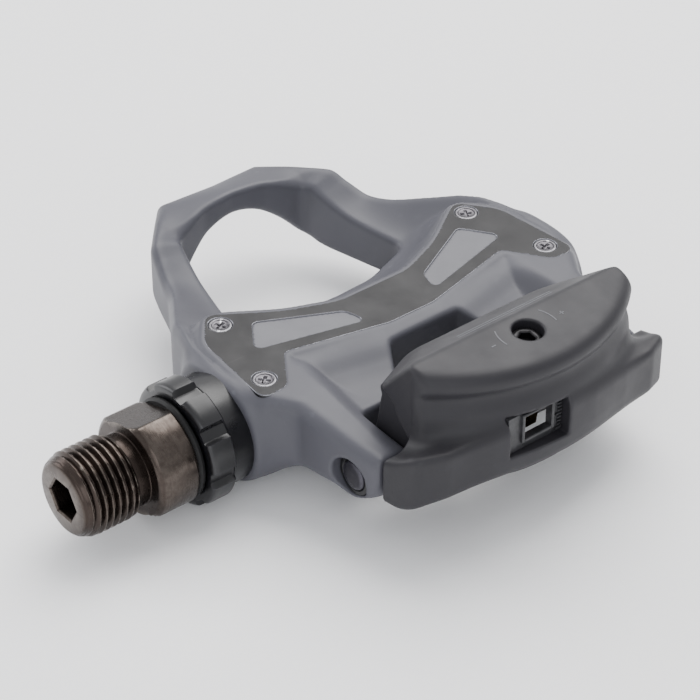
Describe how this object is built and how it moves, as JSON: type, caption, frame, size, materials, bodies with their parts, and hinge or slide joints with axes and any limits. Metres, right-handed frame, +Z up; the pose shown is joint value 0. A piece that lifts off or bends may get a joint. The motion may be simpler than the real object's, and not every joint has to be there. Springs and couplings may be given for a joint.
{
  "type": "clipless pedal",
  "caption": "Road clipless pedal: toe loop, steel cleat plate, sprung rear claw with adjusting bolt, threaded spindle on sealed bearings.",
  "frame": {"origin": "on the spindle axis, in the plane of the shoulder that seats against the crank arm", "axes": "+Y along the spindle from the pedal to the crank, +X forward (riding direction, towards the toe loop), +Z up (out of the cleat plate)"},
  "size_m": [0.0932, 0.1004, 0.0328],
  "materials": {
    "spindle_steel": "dark polished chrome-molybdenum steel",
    "seal_rubber": "matt black rubber",
    "bearing_steel": "ground and polished",
    "zinc_steel": "zinc plated",
    "sleeve_plastic": "moulded, semi-gloss black",
    "tube_alloy": "turned",
    "body_resin": "fibre-filled resin, satin grey",
    "plate_steel": "dark satin, bright edges",
    "screw_steel": "dark nickel",
    "pin_steel": "blackened",
    "bush_plastic": "black",
    "spring_steel": "oiled spring wire",
    "claw_resin": "fibre-filled resin, dark grey",
    "bezel_plastic": "moulded, matt black",
    "nut_brass": "turned and milled"
  },
  "bodies": {
    "spindle_unit": {"spindle": "spindle_steel", "dust_seal": "seal_rubber", "inboard_cone": "bearing_steel", "outboard_cone": "bearing_steel", "tab_washer": "zinc_steel", "lock_nut": "zinc_steel"},
    "pedal_body": {"lock_sleeve": "sleeve_plastic", "o_ring": "seal_rubber", "inboard_cup": "bearing_steel", "outboard_cup": "bearing_steel", "spacer_tube": "tube_alloy", "inboard_balls": "bearing_steel", "outboard_balls": "bearing_steel", "body_shell": "body_resin", "cleat_plate": "plate_steel", "plate_screws": "screw_steel", "pivot_pin": "pin_steel", "pivot_bushes": "bush_plastic", "spring_inboard": "spring_steel", "spring_outboard": "spring_steel"},
    "claw": {"rear_claw": "claw_resin", "claw_lip": "plate_steel", "gauge_bezel": "bezel_plastic"},
    "bolt": {"adjust_bolt": "screw_steel", "retaining_clip": "zinc_steel"},
    "nut": {"tension_nut": "nut_brass"}
  },
  "joints": [
    {"name": "body_spin", "type": "hinge", "parent": "spindle_unit", "child": "pedal_body", "pos_m": [0, -0.053, 0], "axis": [0, 1, 0], "continuous": true},
    {"name": "claw_open", "type": "hinge", "parent": "pedal_body", "child": "claw", "pos_m": [-0.0243, -0.053, 0.0007], "axis": [0, -1, 0], "range_deg": [0, 20], "stiffness_Nm_per_rad": 2, "springref_deg": -28.65, "deforming": ["spring_inboard", "spring_outboard"]},
    {"name": "bolt_turn", "type": "hinge", "parent": "claw", "child": "bolt", "pos_m": [-0.0341, -0.052, 0.0216], "axis": [-0.1392, 0, 0.9903], "range_deg": [-900, 900]},
    {"name": "nut_slide", "type": "slide", "parent": "claw", "child": "nut", "axis": [-0.1392, 0, 0.9903], "range_m": [-0.00199, 0.00199]}
  ],
  "couplings": [
    {"joint": "bolt_turn", "follows": "nut_slide", "rad_per_m": -7854}
  ]
}
